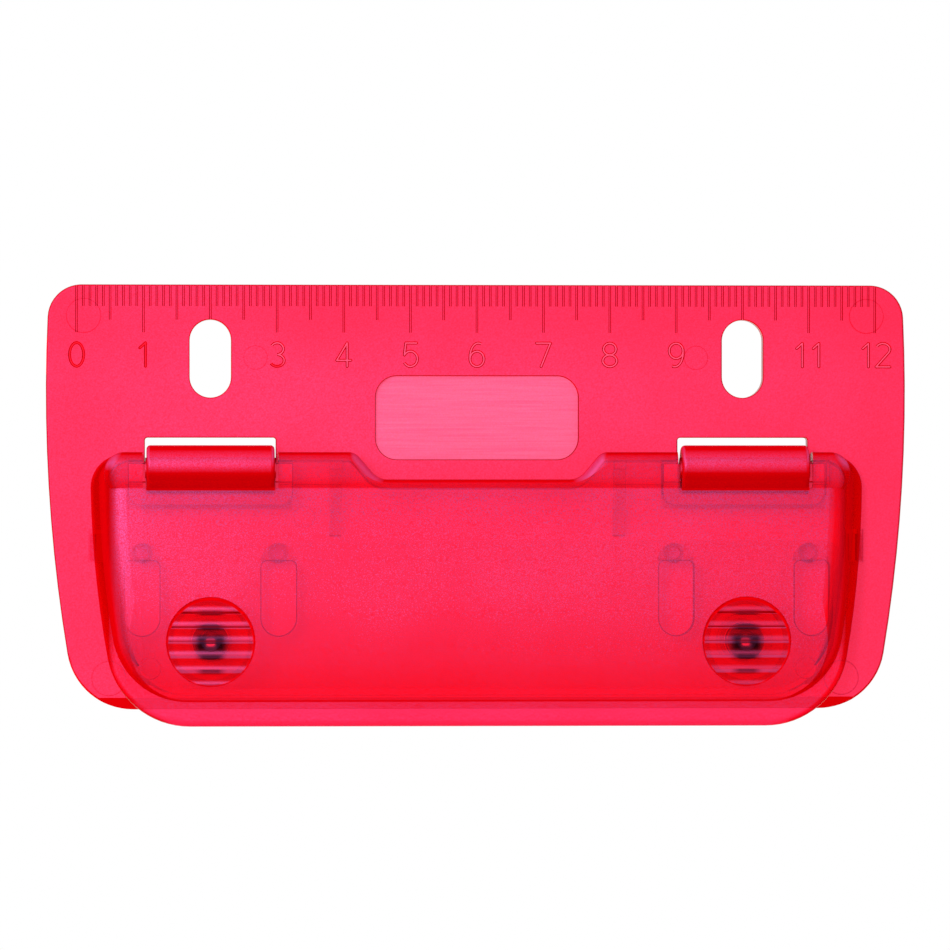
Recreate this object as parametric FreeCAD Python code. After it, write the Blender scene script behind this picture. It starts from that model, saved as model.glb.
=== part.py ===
import FreeCAD, Part
import math
import os

# A flat two-hole pocket punch that files in a ring binder, in millimetres.
# X runs along the ruler, +Y points at the ruler edge and +Z points up. The origin is under the middle of
# the whole object, on the surface that it lies on. It is modelled as it rests, with the lever up.
# "From the rear" is a distance measured from the ruler edge towards the front.

V = FreeCAD.Vector
X_AXIS = V(1, 0, 0)
Z_AXIS = V(0, 0, 1)

# Base plate
plate_width = 129.2
plate_depth = 63.7
plate_thickness = 2.5
plate_side_radius = 240.0
plate_widest_from_rear = 16.1
plate_rear_corner = 5.1
plate_front_corner = 10.0
plate_edge_round = 0.4
edge_break = 0.15
bevel_width = 1.8
bevel_drop = 1.5
ejector_mark_depth = 0.15
corner_mark_radius = 2.5
rear_mark_x = 59.0
rear_mark_from_rear = 4.6
front_mark_x = 55.2
front_mark_from_rear = 59.1
slot_mark_radius = 1.7
slot_mark_x = 33.2
slot_mark_from_rear = 10.9

# Ruler edge
ruler_cm = 12
millimetres_per_cm = 10
tick_width = 0.38
groove_depth = 0.2
groove_floor_share = 0.4
tick_length_mm = 3.25
tick_length_half_cm = 5.3
tick_length_cm = 7.2
digits_from_rear = 10.5
digit_half_height = 1.76
digit_half_width = 1.05
digit_stroke = 0.46
digit_advance = 2.5
one_stem_x = 0.3
one_flag_x = -0.55
one_flag_drop = 0.76
two_neck_degrees = -38.0
four_stem_x = 0.5
four_bar_y = -0.85
bowl_end_degrees = 150.0
small_bowl_half_width = 0.94
round_bowl_half_height = 1.14
five_neck_x = -0.7
six_tail_half_width = 1.25
six_tail_half_height = 2.11
six_tail_tip_degrees = 70.0
six_tail_foot_degrees = 190.0
seven_foot_x = -0.35
full_turn = 360.0

# Two-hole standard, shared by filing slots, hinges and punches
hole_spacing = 80.0
paper_margin = 12.0

# Filing slots
slot_width = 6.2
slot_length = 11.7
slots_from_rear = 11.1

# Label recess
label_width = 30.4
label_depth = 12.5
label_corner = 3.2
label_recess = 0.6
label_wall_lean = 0.15
label_from_rear = 19.95

# Hinge
hinge_from_rear = 27.65
hinge_above_plate = 3.1
bar_radius = 1.7
running_clearance = 0.05
bar_bite = 0.1
barrel_radius = 3.55
barrel_length = 19.1
barrel_side_gap = 0.1
window_side_gap = 0.25
barrel_mouth = 2.8
barrel_end_round = 0.6
window_gap_rear = 1.15
window_gap_front = 0.25
window_ledge = 1.95
window_corner = 0.4
cheek_thickness = 2.65
cheek_rear_from_axis = 0.85
cheek_height = 4.1
cheek_gap = 0.4
housing_front_wall = 1.65
housing_wall_height = 3.5
housing_corner = 2.0
housing_top_round = 0.25

# Punching
punches_from_rear = 53.4
punch_diameter = 5.5
punch_height = 4.0
punch_bore_radius = 1.9
punch_crown_recess = 0.4
punch_web = 0.8
punch_hole_radius = 1.05
punch_edge_hollow = 0.6
punch_retract = 0.2
punch_stroke = 2.5
die_clearance = 0.06
chip_relief = 0.5
chip_relief_height = 1.2

# Guide bridge
paper_gap = 1.1
bridge_thickness = 1.9
bridge_side_gap = 0.35
bridge_top_round = 1.7
bridge_rear_behind_stop = 3.0
bridge_front_before_punches = 7.25
bridge_rear_corner = 2.5
bridge_front_corner = 10.0
bridge_nose_start = 0.5
bridge_nose_drop = 1.4
bridge_lead_in = 0.45
guide_ring_width = 1.45
guide_ring_depth = 0.4
sight_window_offset = 10.2
sight_window_width = 5.2
sight_window_length = 11.2
sight_window_corner = 0.9
pillar_gap = 0.03
peg_radius = 0.9
peg_head_radius = 1.5
peg_head_height = 0.6
peg_head_recess = 0.1
peg_from_stop = 1.1

# Press lever, as it lies when it is pressed flat
lever_side_margin = 6.65
lever_side_radius = 160.0
lever_widest_behind_axis = 0.6
lever_rear_behind_axis = 2.48
lever_overhang = 2.4
lever_rear_corner = 5.0
lever_front_corner = 12.5
lever_rim_clearance = 0.4
lever_height = 4.5
lever_wall = 1.2
lever_roof = 1.1
flange_width = 1.1
flange_thickness = 1.5
flange_round = 0.9
lip_width = 3.4
cap_front_corner = 11.5
shoulder_radius = 4.2
rear_round = 1.5
nose_start_behind_punches = 6.0
nose_fall = 2.5
notch_depth = 4.1
notch_angle = 50.0
notch_upper_radius = 2.0
notch_lower_radius = 3.0
bead_side_margin = 2.1
bead_rise = 0.65
bead_round = 1.8
bead_crest_from_rear_edge = 2.2
bead_crease_from_rear_edge = 5.5
bead_end_corner = 3.0
bead_foot = 0.9
bead_pocket_height = 0.7
bead_pocket_inset = 0.6
hinge_notch_gap = 0.55
hollow_rear_round = 0.4
skin_step = 0.05
lever_mark_radius = 1.5
lever_mark_x = 49.0
lever_mark_from_rear = 57.5
single_mark_x = -26.0
single_mark_from_rear = 34.9

# Side catches of the lever and their windows
catch_length = 4.0
catch_thickness = 1.1
catch_barb = 1.0
catch_barb_height = 0.5
catch_barb_tip = 0.15
catch_from_axis = 11.75
catch_inset = 0.95
catch_ledge = 0.55
catch_play = 0.05
catch_window_gap = 0.25
catch_travel_room = 0.45

# Press pads
pad_radius = 6.65
pad_seam = 0.05
pad_ledge = 1.0
pad_ledge_thickness = 0.4
pad_sink = 0.1
flute_pitch = 2.07
flute_depth = 0.25
flute_count = 8
pad_lead = 0.2
pin_lead = 0.07
pusher_radius = 1.5
pusher_gap = 0.2
peg_pin_radius = 0.75
rivet_radius = 1.35
rivet_height = 0.5
rivet_gap = 0.17

# Return fingers
finger_from_cheek = 6.4
finger_width = 1.8
finger_root = 1.3
finger_root_thickness = 1.1
finger_tip_radius = 0.45
finger_tip_from_axis = 9.65
finger_clear = 0.05
finger_to_notch = 1.9
finger_side_gap = 0.05
finger_seat_gap = 0.02

# Places that follow from the dimensions
half_depth = (plate_depth + lever_overhang) / 2
rear_y = half_depth
front_y = rear_y - plate_depth
half_spacing = hole_spacing / 2
hinge_y = rear_y - hinge_from_rear
hinge_height = plate_thickness + hinge_above_plate
window_width = barrel_length + 2 * window_side_gap
cheek_inside = barrel_length / 2 + barrel_side_gap
cheek_outside = cheek_inside + cheek_thickness
punch_y = rear_y - punches_from_rear
stop_y = punch_y + paper_margin
arm = hinge_y - punch_y
press_angle = math.asin(punch_stroke / arm)
punch_radius = punch_diameter / 2
bridge_bottom = plate_thickness + paper_gap
bridge_top = bridge_bottom + bridge_thickness
punch_tip = bridge_bottom + punch_retract
lever_rim = plate_thickness + lever_rim_clearance
lever_top = lever_rim + lever_height
roof_bottom = lever_top - lever_roof
lever_half_width = plate_width / 2 - lever_side_margin
lever_widest_y = hinge_y + lever_widest_behind_axis
lever_rear = hinge_y + lever_rear_behind_axis
cavity_rear = lever_rear - skin_step - lever_wall
bead_crease = lever_rear - bead_crease_from_rear_edge
window_rear = hinge_y + barrel_radius + window_gap_rear
window_front = hinge_y - barrel_radius - window_gap_front
finger_x = half_spacing - cheek_outside - finger_from_cheek
notch_half_width = finger_x - finger_to_notch
far = 200.0
overrun = 1.0
tolerance = 1e-4


def to_rest(shape):
    """Turns a shape of the pressed lever up about the hinge, to where it rests."""
    raised = shape.copy()
    raised.rotate(V(0, hinge_y, hinge_height), X_AXIS, -math.degrees(press_angle))
    return raised


def to_pressed(y, z):
    """The place that a point (y, z) of the resting lever has when the lever is pressed flat."""
    back = y - hinge_y
    up = z - hinge_height
    pressed_y = hinge_y + back * math.cos(press_angle) - up * math.sin(press_angle)
    pressed_z = hinge_height + back * math.sin(press_angle) + up * math.cos(press_angle)
    return pressed_y, pressed_z


def pressed_front(rest_y, pressed_z):
    """The y at which a point at pressed_z lies, so that it rests at rest_y once the lever is up."""
    up = pressed_z - hinge_height
    return hinge_y + (rest_y - hinge_y - up * math.sin(press_angle)) / math.cos(press_angle)


def box(x_low, x_high, y_low, y_high, z_low, z_high):
    return Part.makeBox(x_high - x_low, y_high - y_low, z_high - z_low, V(x_low, y_low, z_low))


def prism(face, z_low, z_high):
    """A flat face drawn at z = 0, pulled up from z_low to z_high."""
    base = face.copy()
    base.translate(V(0, 0, z_low))
    return base.extrude(V(0, 0, z_high - z_low))


def upright(radius, x, y, z_low, z_high):
    return Part.makeCylinder(radius, z_high - z_low, V(x, y, z_low), Z_AXIS)


def bar_along_x(radius, x_low, x_high, y, z):
    return Part.makeCylinder(radius, x_high - x_low, V(x_low, y, z), X_AXIS)


def sloped_cut(outline, floor, depth, lean):
    """A recess that is outline(0) at its floor and leans out by lean over its depth. It goes on as far
    again above that, so that it cuts clear of the surface. outline(grow) gives a closed wire at z = 0."""
    low = outline(0)
    high = outline(2 * lean)
    low.translate(V(0, 0, floor))
    high.translate(V(0, 0, floor + 2 * depth))
    return Part.makeLoft([low, high], True, True)


def side_profile(points, x_low, x_high):
    """A closed outline of (y, z) corners, pulled along X."""
    corners = [V(x_low, y, z) for y, z in points]
    corners.append(corners[0])
    return Part.Face(Part.makePolygon(corners)).extrude(V(x_high - x_low, 0, 0))


def arc(start, middle, end):
    return Part.Arc(start, middle, end).toShape()


def line(start, end):
    return Part.LineSegment(start, end).toShape()


def mirrored(shape):
    """The same shape on the other side of the middle."""
    return shape.mirror(V(0, 0, 0), X_AXIS)


def panel_corner(side_centre, side_radius, edge_y, radius, towards_edge):
    """The round corner between a bowed side and a straight edge. towards_edge is 1 at the rear and
    -1 at the front."""
    centre_y = edge_y - towards_edge * radius
    reach = side_radius - radius
    centre_x = side_centre.x + math.sqrt(reach ** 2 - (centre_y - side_centre.y) ** 2)
    centre = V(centre_x, centre_y, 0)
    outward = (centre - side_centre).normalize()
    halfway = (outward + V(0, towards_edge, 0)).normalize()
    on_edge = V(centre_x, edge_y, 0)
    on_side = side_centre + outward * side_radius
    return on_edge, centre + halfway * radius, on_side


def notch_half(rear, inset):
    """The right half of the lever's rear notch: a round shoulder, a slope and a round foot."""
    angle = math.radians(notch_angle)
    upper = notch_upper_radius - inset
    lower = notch_lower_radius + inset
    slope_height = notch_depth - (upper + lower) * (1 - math.cos(angle))
    slope = slope_height / math.sin(angle)

    def on_arc(centre, radius, turn):
        return centre + V(-radius * math.sin(turn), radius * math.cos(turn), 0)

    upper_centre = V(notch_half_width, rear - upper, 0)
    slope_top = on_arc(upper_centre, upper, angle)
    slope_foot = slope_top + V(-math.cos(angle), -math.sin(angle), 0) * slope
    lower_centre = on_arc(slope_foot, lower, angle)
    foot = V(lower_centre.x, lower_centre.y - lower, 0)
    shoulder = arc(V(notch_half_width, rear, 0), on_arc(upper_centre, upper, angle / 2), slope_top)
    hollow = arc(slope_foot, on_arc(lower_centre, -lower, angle / 2), foot)
    return [shoulder, line(slope_top, slope_foot), hollow], foot


def panel(half_width, widest_y, side_radius, rear, rear_corner, front, front_corner, inset=0.0,
          notch=False):
    """A face with a straight front and rear, bowed sides and round corners, drawn in by inset.
    The sides bow on side_radius and are half_width from the middle at widest_y."""
    side_centre = V(half_width - side_radius, widest_y, 0)
    side = side_radius - inset
    rear_edge, rear_middle, side_rear = panel_corner(
        side_centre, side, rear - inset, rear_corner - inset, 1)
    front_edge, front_middle, side_front = panel_corner(
        side_centre, side, front + inset, front_corner - inset, -1)
    bow = ((side_rear - side_centre) + (side_front - side_centre)).normalize()
    half = [
        arc(rear_edge, rear_middle, side_rear),
        arc(side_rear, side_centre + bow * side, side_front),
        arc(side_front, front_middle, front_edge),
        line(front_edge, V(0, front_edge.y, 0)),
    ]
    if notch:
        steps, foot = notch_half(rear - inset, inset)
        half += [line(rear_edge, V(notch_half_width, rear - inset, 0)), line(foot, V(0, foot.y, 0))] + steps
    else:
        half.append(line(rear_edge, V(0, rear_edge.y, 0)))
    edges = half + [mirrored(edge) for edge in half]
    outline = Part.Face(Part.Wire(Part.__sortEdges__(edges)))
    return outline.removeSplitter().Faces[0]


def rounded_rectangle(x, y, width, depth, radius):
    """A face of this width along X and depth along Y, centred on (x, y)."""
    block = box(x - width / 2, x + width / 2, y - depth / 2, y + depth / 2, 0, overrun)
    rounded = block.makeFillet(radius, [e for e in block.Edges if e.BoundBox.ZLength > overrun / 2])
    return next(f for f in rounded.Faces if f.BoundBox.ZMax < tolerance)


def round_top(shape, radius, height):
    """Rounds the edges that lie flat at this height."""
    level = [e for e in shape.Edges if e.BoundBox.ZLength < tolerance]
    return shape.makeFillet(radius, [e for e in level if abs(e.BoundBox.ZMin - height) < tolerance])


def as_one_solid(shape):
    """The single solid of a shape, with faces that continue each other joined."""
    merged = shape.removeSplitter()
    if len(merged.Solids) != 1:
        raise ValueError("expected one solid, got %d" % len(merged.Solids))
    return merged.Solids[0]


# Ruler markings

def tick_length(millimetre):
    if millimetre % millimetres_per_cm == 0:
        return tick_length_cm
    if millimetre % (millimetres_per_cm // 2) == 0:
        return tick_length_half_cm
    return tick_length_mm


def over_a_slot(x):
    return abs(abs(x) - half_spacing) < slot_width / 2


def ruler_ticks():
    """One shallow groove for each millimetre, longer at each half and whole centimetre."""
    last = ruler_cm * millimetres_per_cm
    slot_end = rear_y - slots_from_rear + slot_length / 2
    grooves = []
    for millimetre in range(last + 1):
        x = millimetre - last / 2
        end_y = rear_y - tick_length(millimetre)
        if over_a_slot(x):
            end_y = max(end_y, slot_end)
        grooves.append(groove(lambda half: rectangle_wire(x - half, x + half, end_y, rear_y + overrun),
                              tick_width))
    return grooves


def rectangle_wire(x_low, x_high, y_low, y_high):
    corners = [V(x_low, y_low, 0), V(x_high, y_low, 0), V(x_high, y_high, 0), V(x_low, y_high, 0)]
    return Part.makePolygon(corners + corners[:1])


def groove(outline, width):
    """A groove in the plate with leaning walls. outline(half_width) gives its wire."""
    floor_half = width / 2 * groove_floor_share
    lean = width / 2 - floor_half
    return sloped_cut(lambda grow: outline(floor_half + grow), plate_thickness - groove_depth,
                      groove_depth, lean)


def straight_stroke(x0, y0, x1, y1):
    """A straight stroke of a digit, with round ends."""
    start = V(x0, y0, 0)
    end = V(x1, y1, 0)
    along = (end - start).normalize()
    across = V(-along.y, along.x, 0)

    def outline(half):
        return Part.Wire([
            line(start + across * half, end + across * half),
            arc(end + across * half, end + along * half, end - across * half),
            line(end - across * half, start - across * half),
            arc(start - across * half, start - along * half, start + across * half),
        ])

    return groove(outline, digit_stroke)


def bowed_stroke(x, y, across, up, from_degrees, to_degrees):
    """A stroke that follows an upright oval about (x, y), from one angle to another."""

    def oval(grow):
        wide = across + grow
        tall = up + grow
        if tall >= wide:
            return Part.Ellipse(V(x, y + tall, 0), V(x - wide, y, 0), V(x, y, 0)), full_turn / 4
        return Part.Ellipse(V(x + wide, y, 0), V(x, y + tall, 0), V(x, y, 0)), 0

    def oval_wire(grow):
        return Part.Wire(oval(grow)[0].toShape())

    def oval_arc(grow):
        curve, offset = oval(grow)
        first = math.radians(from_degrees - offset)
        last = math.radians(to_degrees - offset)
        return Part.ArcOfEllipse(curve, first, last).toShape()

    def outline(half):
        outer = oval_arc(half)
        inner = oval_arc(-half)
        first_cap = line(outer.Vertexes[0].Point, inner.Vertexes[0].Point)
        last_cap = line(outer.Vertexes[-1].Point, inner.Vertexes[-1].Point)
        return Part.Wire(Part.__sortEdges__([outer, inner, first_cap, last_cap]))

    if to_degrees - from_degrees < full_turn:
        return groove(outline, digit_stroke)
    island = groove(lambda half: oval_wire(-half), digit_stroke)
    return groove(oval_wire, digit_stroke).cut(island)


def bowl_point(centre_y, half_width, half_height, degrees):
    """The place on an upright oval, centred on x = 0, at this angle."""
    angle = math.radians(degrees)
    return half_width * math.cos(angle), centre_y + half_height * math.sin(angle)


def six_strokes():
    round_y = round_bowl_half_height - digit_half_height
    tail_x = six_tail_half_width - digit_half_width
    tail_y = digit_half_height - six_tail_half_height
    return [
        bowed_stroke(0, round_y, digit_half_width, round_bowl_half_height, 0, full_turn),
        bowed_stroke(tail_x, tail_y, six_tail_half_width, six_tail_half_height,
                     six_tail_tip_degrees, six_tail_foot_degrees),
    ]


def digit_strokes(digit):
    """The grooves of one plain digit, centred on the origin."""
    top = digit_half_height
    wide = digit_half_width
    small = small_bowl_half_width
    half = top / 2
    waist = full_turn / 4
    if digit == "0":
        return [bowed_stroke(0, 0, wide, top, 0, full_turn)]
    if digit == "1":
        flag = straight_stroke(one_stem_x, top, one_flag_x, top - one_flag_drop)
        return [straight_stroke(one_stem_x, -top, one_stem_x, top), flag]
    if digit == "2":
        neck_x, neck_y = bowl_point(half, wide, half, two_neck_degrees)
        neck = straight_stroke(neck_x, neck_y, -wide, -top)
        bowl = bowed_stroke(0, half, wide, half, two_neck_degrees, bowl_end_degrees)
        return [bowl, neck, straight_stroke(-wide, -top, wide, -top)]
    if digit == "3":
        upper = bowed_stroke(0, half, small, half, -waist, bowl_end_degrees)
        return [upper, bowed_stroke(0, -half, wide, half, -bowl_end_degrees, waist)]
    if digit == "4":
        stem = straight_stroke(four_stem_x, -top, four_stem_x, top)
        slope = straight_stroke(four_stem_x, top, -wide, four_bar_y)
        return [stem, slope, straight_stroke(-wide, four_bar_y, wide, four_bar_y)]
    if digit == "5":
        round_y = round_bowl_half_height - top
        end_x, end_y = bowl_point(round_y, wide, round_bowl_half_height, bowl_end_degrees)
        neck = straight_stroke(five_neck_x, top, end_x, end_y)
        bowl = bowed_stroke(0, round_y, wide, round_bowl_half_height, -bowl_end_degrees, bowl_end_degrees)
        return [straight_stroke(five_neck_x, top, small, top), neck, bowl]
    if digit == "6":
        return six_strokes()
    if digit == "7":
        return [straight_stroke(-wide, top, wide, top), straight_stroke(wide, top, seven_foot_x, -top)]
    if digit == "8":
        upper = bowed_stroke(0, half, small, half, 0, full_turn)
        return [upper, bowed_stroke(0, -half, wide, half, 0, full_turn)]
    return [stroke.rotated(V(0, 0, 0), Z_AXIS, full_turn / 2) for stroke in six_strokes()]


def ruler_numbers():
    """The grooves of the numbers under the centimetre ticks, left out where a filing slot lies."""
    grooves = []
    for centimetre in range(ruler_cm + 1):
        x = (centimetre - ruler_cm / 2) * millimetres_per_cm
        if over_a_slot(x):
            continue
        number = str(centimetre)
        for place, digit in enumerate(number):
            shift = (place - (len(number) - 1) / 2) * digit_advance
            for stroke in digit_strokes(digit):
                stroke.translate(V(x + shift, rear_y - digits_from_rear, 0))
                grooves.append(stroke)
    return grooves


# Base plate

def plate_blank():
    """The plain plate with its rounded top edge and the lead-in bevel along the front."""
    outline = panel(plate_width / 2, rear_y - plate_widest_from_rear, plate_side_radius, rear_y,
                    plate_rear_corner, front_y, plate_front_corner)
    blank = round_top(prism(outline, 0, plate_thickness), plate_edge_round, plate_thickness)
    bevel = side_profile([
        (front_y + bevel_width, plate_thickness),
        (front_y - bevel_width, plate_thickness - 2 * bevel_drop),
        (front_y - bevel_width, plate_thickness + overrun),
        (front_y + bevel_width, plate_thickness + overrun),
    ], -plate_width, plate_width)
    return blank.cut(bevel)


def hinge_housing(x):
    """The low wall in front of one hinge window and the two higher cheeks that carry its bar."""
    low = plate_thickness - overrun
    low_top = plate_thickness + housing_wall_height
    high_top = plate_thickness + cheek_height
    front = window_front - housing_front_wall
    rear = hinge_y + cheek_rear_from_axis
    step = bead_crease + bead_pocket_inset + cheek_gap
    outline = rounded_rectangle(x, (front + rear) / 2, 2 * cheek_outside, rear - front, housing_corner)
    wall = round_top(prism(outline, low, low_top), housing_top_round, low_top)
    cheeks = box(x - cheek_outside, x + cheek_outside, step, rear, low, high_top)
    return wall.fuse(round_top(cheeks, housing_top_round, high_top))


def hinge_window(x):
    """The opening for one barrel: through the plate under the barrel, longer above the plate, and wider
    behind the cheeks, where the plate's own edge is broken."""
    rear_part = hinge_y + cheek_rear_from_axis
    ledge = window_front + window_ledge

    def opening(half, rear, front, low):
        face = rounded_rectangle(x, (rear + front) / 2, 2 * half, rear - front, window_corner)
        return prism(face, low, far)

    def wide_outline(grow):
        return rounded_rectangle(x, (window_rear + rear_part) / 2, window_width + 2 * grow,
                                 window_rear - rear_part + 2 * grow, window_corner + grow).OuterWire

    through = opening(cheek_inside, window_rear - window_corner, ledge, -overrun)
    above = opening(cheek_inside, window_rear - window_corner, window_front, plate_thickness)
    wide = opening(window_width / 2, window_rear, rear_part, -overrun)
    broken = sloped_cut(wide_outline, plate_thickness - edge_break, edge_break, edge_break)
    behind = box(x - window_width, x + window_width, rear_part, rear_y, 0, far)
    return through.fuse([above, wide, broken.common(behind)])


def hinge_bar(x):
    half = cheek_inside + bar_bite
    return bar_along_x(bar_radius, x - half, x + half, hinge_y, hinge_height)


def filing_slot(x):
    """A slot with round ends, which runs along Y."""
    y = rear_y - slots_from_rear

    def outline(grow):
        return rounded_rectangle(x, y, slot_width + 2 * grow, slot_length + 2 * grow,
                                 slot_width / 2 - tolerance + grow)

    broken = sloped_cut(lambda grow: outline(grow).OuterWire, plate_thickness - edge_break,
                        edge_break, edge_break)
    return prism(outline(0), -overrun, plate_thickness + overrun).fuse(broken)


def label_place():
    """The shallow recess for a name label."""
    y = rear_y - label_from_rear

    def outline(grow):
        return rounded_rectangle(0, y, label_width + 2 * grow, label_depth + 2 * grow,
                                 label_corner + grow).OuterWire

    return sloped_cut(outline, plate_thickness - label_recess, label_recess, label_wall_lean)


def catch_place():
    """The outer face of the catch tabs: how far from the middle, on the resting lever."""
    from_widest = lever_widest_y - (hinge_y - catch_from_axis)
    bow = lever_side_radius - math.sqrt(lever_side_radius ** 2 - from_widest ** 2)
    return lever_half_width - bow - catch_inset + catch_thickness / 2


def catch_window(side):
    """The slot that one side catch passes, with a wider pocket below its ledge for the barb."""
    outer = catch_place()
    inner = outer - catch_thickness - catch_window_gap
    middle = hinge_y - catch_from_axis
    front = middle - catch_length / 2 - catch_window_gap
    rear = middle + catch_length / 2 + catch_window_gap + catch_travel_room
    slot = box(inner, outer + catch_window_gap, front, rear, -overrun, plate_thickness + overrun)
    pocket = box(inner, outer + catch_barb + catch_window_gap, front, rear, -overrun,
                 plate_thickness - catch_ledge)
    window = slot.fuse(pocket)
    return window if side > 0 else mirrored(window)


def stop_places():
    """The middle of each sight window across X: one on each side of each punch."""
    offsets = (-sight_window_offset, sight_window_offset)
    return [side * half_spacing + offset for side in (-1, 1) for offset in offsets]


def peg(x, grow):
    """A riveted peg of the bridge, or with a positive grow the hole that it fills."""
    y = stop_y + peg_from_stop
    shank = upright(peg_radius + grow, x, y, peg_head_recess, bridge_bottom)
    head = Part.makeCone(peg_head_radius + grow, peg_radius + grow, peg_head_height,
                         V(x, y, peg_head_recess), Z_AXIS)
    if grow == 0:
        return shank.fuse(head)
    return shank.fuse([head, upright(peg_head_radius + grow, x, y, -overrun, peg_head_recess)])


def die_hole(x):
    """The hole that the punch shears the paper against, wider below so that the chips drop out."""
    die = upright(punch_radius + die_clearance, x, punch_y, -overrun, plate_thickness + overrun)
    return die.fuse(upright(punch_radius + chip_relief, x, punch_y, -overrun, chip_relief_height))


def ejector_mark(radius, x, y, z, slope):
    """A round mark, pressed up into a surface that faces down at height z and leans by slope."""
    deep = ejector_mark_depth
    mark = Part.makeCone(radius + deep + overrun, radius, deep + overrun, V(0, 0, -overrun), Z_AXIS)
    mark.rotate(V(0, 0, 0), X_AXIS, math.degrees(slope))
    mark.translate(V(x, y, z))
    return mark


def plate_marks():
    """The round ejector marks of the moulding, in the underside."""
    places = [
        (corner_mark_radius, rear_mark_x, rear_y - rear_mark_from_rear),
        (corner_mark_radius, front_mark_x, rear_y - front_mark_from_rear),
        (slot_mark_radius, slot_mark_x, rear_y - slot_mark_from_rear),
    ]
    return [ejector_mark(radius, side * x, y, 0, 0) for side in (-1, 1) for radius, x, y in places]


def base_plate():
    body = plate_blank()
    body = body.fuse([hinge_housing(side * half_spacing) for side in (-1, 1)])
    cuts = [label_place()]
    for side in (-1, 1):
        x = side * half_spacing
        cuts += [hinge_window(x), filing_slot(x), die_hole(x), catch_window(side)]
    cuts += plate_marks()
    cuts += [peg(x, running_clearance) for x in stop_places()]
    body = body.cut(cuts)
    body = body.fuse([hinge_bar(side * half_spacing) for side in (-1, 1)])
    return as_one_solid(body.cut(ruler_ticks()).cut(ruler_numbers()))


# Guide bridge

def bridge_side_view():
    """The bridge seen from the side: its top falls towards the front, and its underside leads the
    paper in."""
    rear = stop_y + bridge_rear_behind_stop
    front = punch_y - bridge_front_before_punches
    return side_profile([
        (rear, bridge_bottom),
        (rear, bridge_top),
        (punch_y - bridge_nose_start, bridge_top),
        (front, bridge_top - bridge_nose_drop),
        (front, bridge_bottom + bridge_lead_in),
        (front + 2 * bridge_lead_in, bridge_bottom),
    ], -lever_half_width, lever_half_width)


def stop_pillar(x):
    """A pillar of half-round plan, whose flat face stops the paper, with the peg under it."""
    radius = sight_window_width / 2
    behind = box(x - radius, x + radius, stop_y, stop_y + radius, 0, far)
    pillar = upright(radius, x, stop_y, plate_thickness + pillar_gap, bridge_bottom).common(behind)
    return pillar.fuse(peg(x, 0))


def sight_outline(x, grow):
    """A long outline with a straight rear end on the stop line and a round front end."""
    half = sight_window_width / 2 + grow
    corner = sight_window_corner + grow
    rear = stop_y + grow
    front = stop_y - sight_window_length + sight_window_width / 2
    bulge = corner * math.sqrt(0.5)

    def rear_corner(side):
        centre = V(x + side * (half - corner), rear - corner, 0)
        return arc(centre + V(0, corner, 0), centre + V(side * bulge, bulge, 0),
                   centre + V(side * corner, 0, 0))

    return Part.Wire([
        line(V(x - half + corner, rear, 0), V(x + half - corner, rear, 0)),
        rear_corner(1),
        line(V(x + half, rear - corner, 0), V(x + half, front, 0)),
        arc(V(x + half, front, 0), V(x, front - half, 0), V(x - half, front, 0)),
        line(V(x - half, front, 0), V(x - half, rear - corner, 0)),
        rear_corner(-1),
    ])


def sight_window(x):
    """A window through the bridge, with a broken upper edge."""
    broken = sloped_cut(lambda grow: sight_outline(x, grow), bridge_top - edge_break, edge_break, edge_break)
    return prism(Part.Face(sight_outline(x, 0)), 0, far).fuse(broken)


def guide_bridge():
    """The bridge keeps an even gap to the walls of the pressed lever."""
    inset = flange_width + lever_wall + bridge_side_gap
    outline = panel(lever_half_width - inset, lever_widest_y, lever_side_radius - inset,
                    stop_y + bridge_rear_behind_stop, bridge_rear_corner,
                    punch_y - bridge_front_before_punches, bridge_front_corner)
    slab = round_top(prism(outline, bridge_bottom - overrun, bridge_top), bridge_top_round, bridge_top)
    body = slab.common(bridge_side_view())
    body = body.fuse([stop_pillar(x) for x in stop_places()])
    cuts = [sight_window(x) for x in stop_places()]
    for side in (-1, 1):
        x = side * half_spacing
        cuts.append(upright(punch_radius + running_clearance, x, punch_y, 0, far))
        ring_radius = punch_radius + guide_ring_width
        cuts.append(upright(ring_radius, x, punch_y, bridge_top - guide_ring_depth, far))
    return as_one_solid(body.cut(cuts))


# Press lever

def cap_front():
    """The front of the cap on the pressed lever, behind the lip."""
    return pressed_front(-half_depth, lever_rim) + lip_width


def nose_start():
    return punch_y + nose_start_behind_punches


def nose_radius():
    """The radius at which the roof falls by nose_fall on its way to the front of the cap."""
    run = nose_start() - cap_front()
    return (run ** 2 + nose_fall ** 2) / (2 * nose_fall)


def nose_drop(y):
    """How far the roof has curved down at y."""
    ahead = max(0, nose_start() - y)
    return nose_radius() - math.sqrt(nose_radius() ** 2 - ahead ** 2)


def nose_cut(drop):
    """What lies above the lever's front, where its roof curves down. drop moves the curve inwards."""
    start = nose_start()
    end = cap_front() - lip_width
    top = lever_top - drop
    above = top + lever_height
    radius = nose_radius() - drop
    centre_z = lever_top - nose_radius()
    half_angle = math.asin((start - end) / radius) / 2
    middle = V(-far, start - radius * math.sin(half_angle), centre_z + radius * math.cos(half_angle))
    low = V(-far, end, centre_z + radius * math.cos(2 * half_angle))
    edges = [
        arc(V(-far, start, top), middle, low),
        line(low, V(-far, end, above)),
        line(V(-far, end, above), V(-far, start, above)),
        line(V(-far, start, above), V(-far, start, top)),
    ]
    return Part.Face(Part.Wire(edges)).extrude(V(2 * far, 0, 0))


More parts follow.
